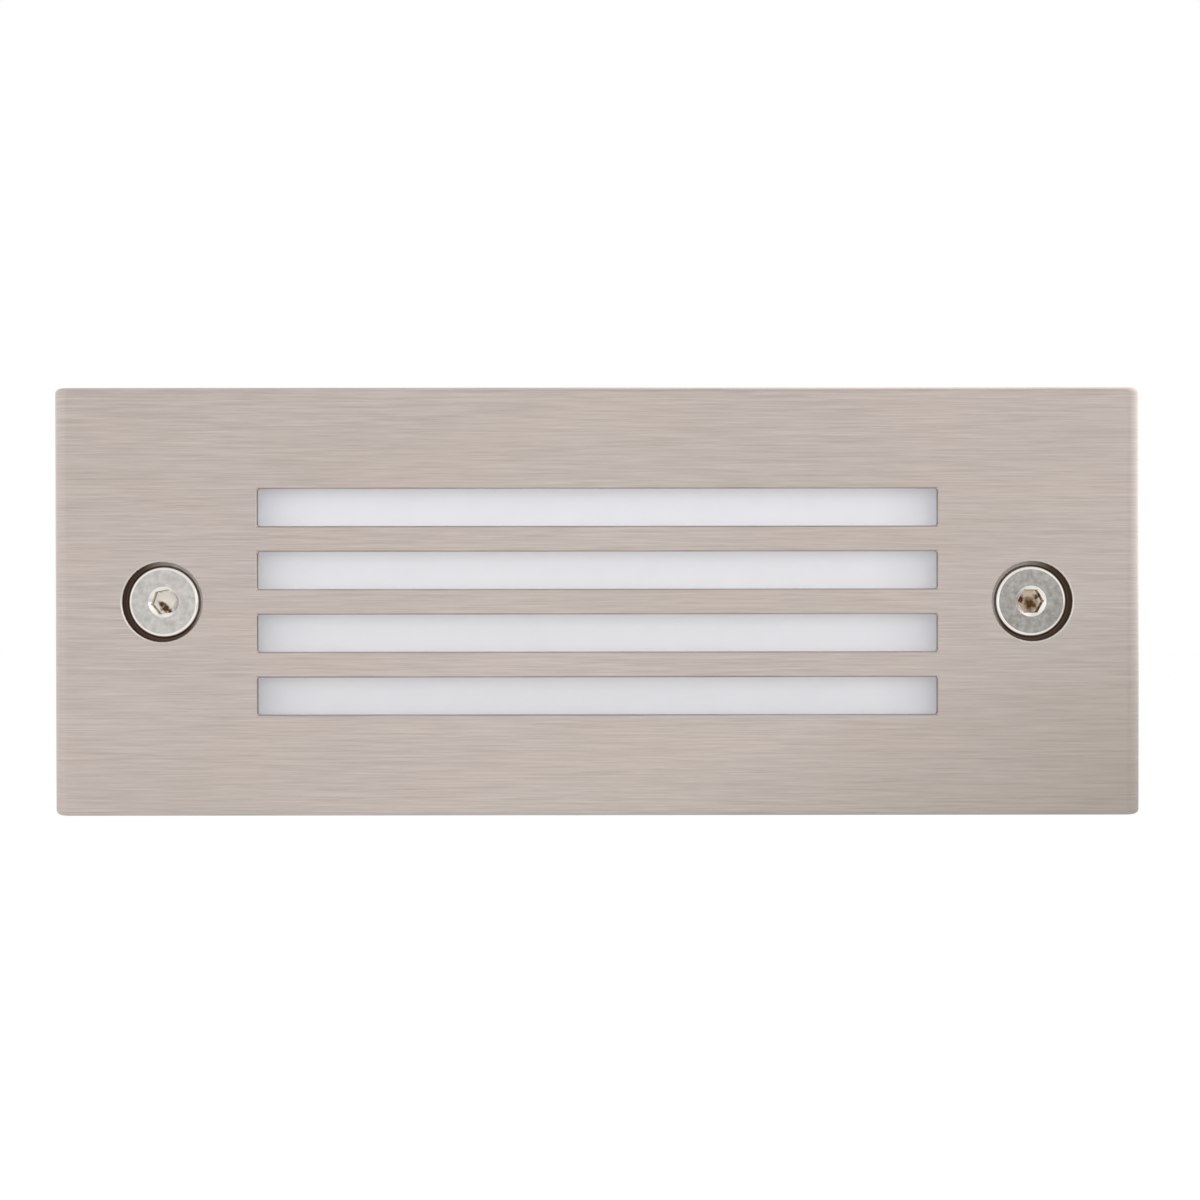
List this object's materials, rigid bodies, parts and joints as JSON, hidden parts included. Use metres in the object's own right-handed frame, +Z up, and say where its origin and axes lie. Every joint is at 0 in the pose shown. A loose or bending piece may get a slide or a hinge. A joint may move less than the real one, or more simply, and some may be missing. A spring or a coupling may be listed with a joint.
{
  "type": "recessed step light",
  "caption": "Brick-size recessed step light: brushed steel face with long slots over a white diffuser, two countersunk screws, box behind.",
  "frame": {"origin": "centre of the face on the wall's surface, where the box's flange rests", "axes": "+X along the face to the right as seen from the front, +Y into the wall, +Z up"},
  "size_m": [0.234, 0.1012, 0.092],
  "materials": {
    "brushed_stainless": "horizontally brushed",
    "polished_stainless": "bright turned",
    "black_rubber": "matte",
    "clear_silicone": "matte",
    "thermal_pad": "matte",
    "black_plastic": "matte moulded",
    "brass": "turned",
    "cast_aluminium": "cast",
    "opal_plastic": "opal satin",
    "white_plastic": "smooth",
    "grey_plastic": "matte",
    "white_board": "satin",
    "led_yellow": "smooth",
    "zinc_steel": "plated",
    "red_lead": "smooth",
    "black_lead": "smooth",
    "brown_lead": "smooth",
    "blue_lead": "smooth",
    "green_lead": "smooth"
  },
  "bodies": {
    "recess_box": {"recess_box": "black_plastic", "insert_left": "brass", "insert_right": "brass", "gland_body": "black_plastic", "gland_seal": "black_rubber", "gland_nut": "black_plastic", "gland_locknut": "black_plastic", "side_entry_plug": "black_plastic"},
    "lamp_module": {"lamp_housing": "cast_aluminium", "lens_frame": "cast_aluminium", "diffuser_seal": "clear_silicone", "diffuser": "opal_plastic", "reflector": "white_plastic", "led_board": "white_board", "thermal_pad": "thermal_pad", "led_chip_1": "led_yellow", "led_chip_2": "led_yellow", "led_chip_3": "led_yellow", "led_chip_4": "led_yellow", "led_chip_5": "led_yellow", "led_chip_6": "led_yellow", "led_chip_7": "led_yellow", "led_chip_8": "led_yellow", "led_chip_9": "led_yellow", "led_chip_10": "led_yellow", "led_chip_11": "led_yellow", "led_chip_12": "led_yellow", "board_screw_left": "zinc_steel", "board_screw_right": "zinc_steel", "module_screw_1": "zinc_steel", "module_screw_2": "zinc_steel", "module_screw_3": "zinc_steel", "module_screw_4": "zinc_steel", "driver": "grey_plastic", "driver_screw_left": "zinc_steel", "driver_screw_right": "zinc_steel", "terminal_block": "white_plastic", "terminal_clamp_1": "brass", "terminal_clamp_2": "brass", "terminal_clamp_3": "brass", "earth_tag": "brass", "earth_screw": "zinc_steel", "lead_grommet": "clear_silicone", "led_lead_plus": "red_lead", "led_lead_minus": "black_lead", "live_lead": "brown_lead", "neutral_lead": "blue_lead", "earth_lead": "green_lead"},
    "face": {"face_plate": "brushed_stainless", "screw_cup_left": "brushed_stainless", "screw_cup_right": "brushed_stainless", "face_gasket": "black_rubber", "lens_gasket": "black_rubber"},
    "left_screw": {"cover_screw_left": "polished_stainless"},
    "right_screw": {"cover_screw_right": "polished_stainless"}
  },
  "joints": [
    {"name": "module_withdraw", "type": "slide", "parent": "recess_box", "child": "lamp_module", "axis": [0, -1, 0], "range_m": [0, 0.08]},
    {"name": "face_plate_lift_off", "type": "slide", "parent": "lamp_module", "child": "face", "axis": [0, -1, 0], "range_m": [0, 0.03]},
    {"name": "left_screw_undo", "type": "slide", "parent": "face", "child": "left_screw", "axis": [0, -1, 0], "range_m": [0, 0.022]},
    {"name": "right_screw_undo", "type": "slide", "parent": "face", "child": "right_screw", "axis": [0, -1, 0], "range_m": [0, 0.022]}
  ]
}
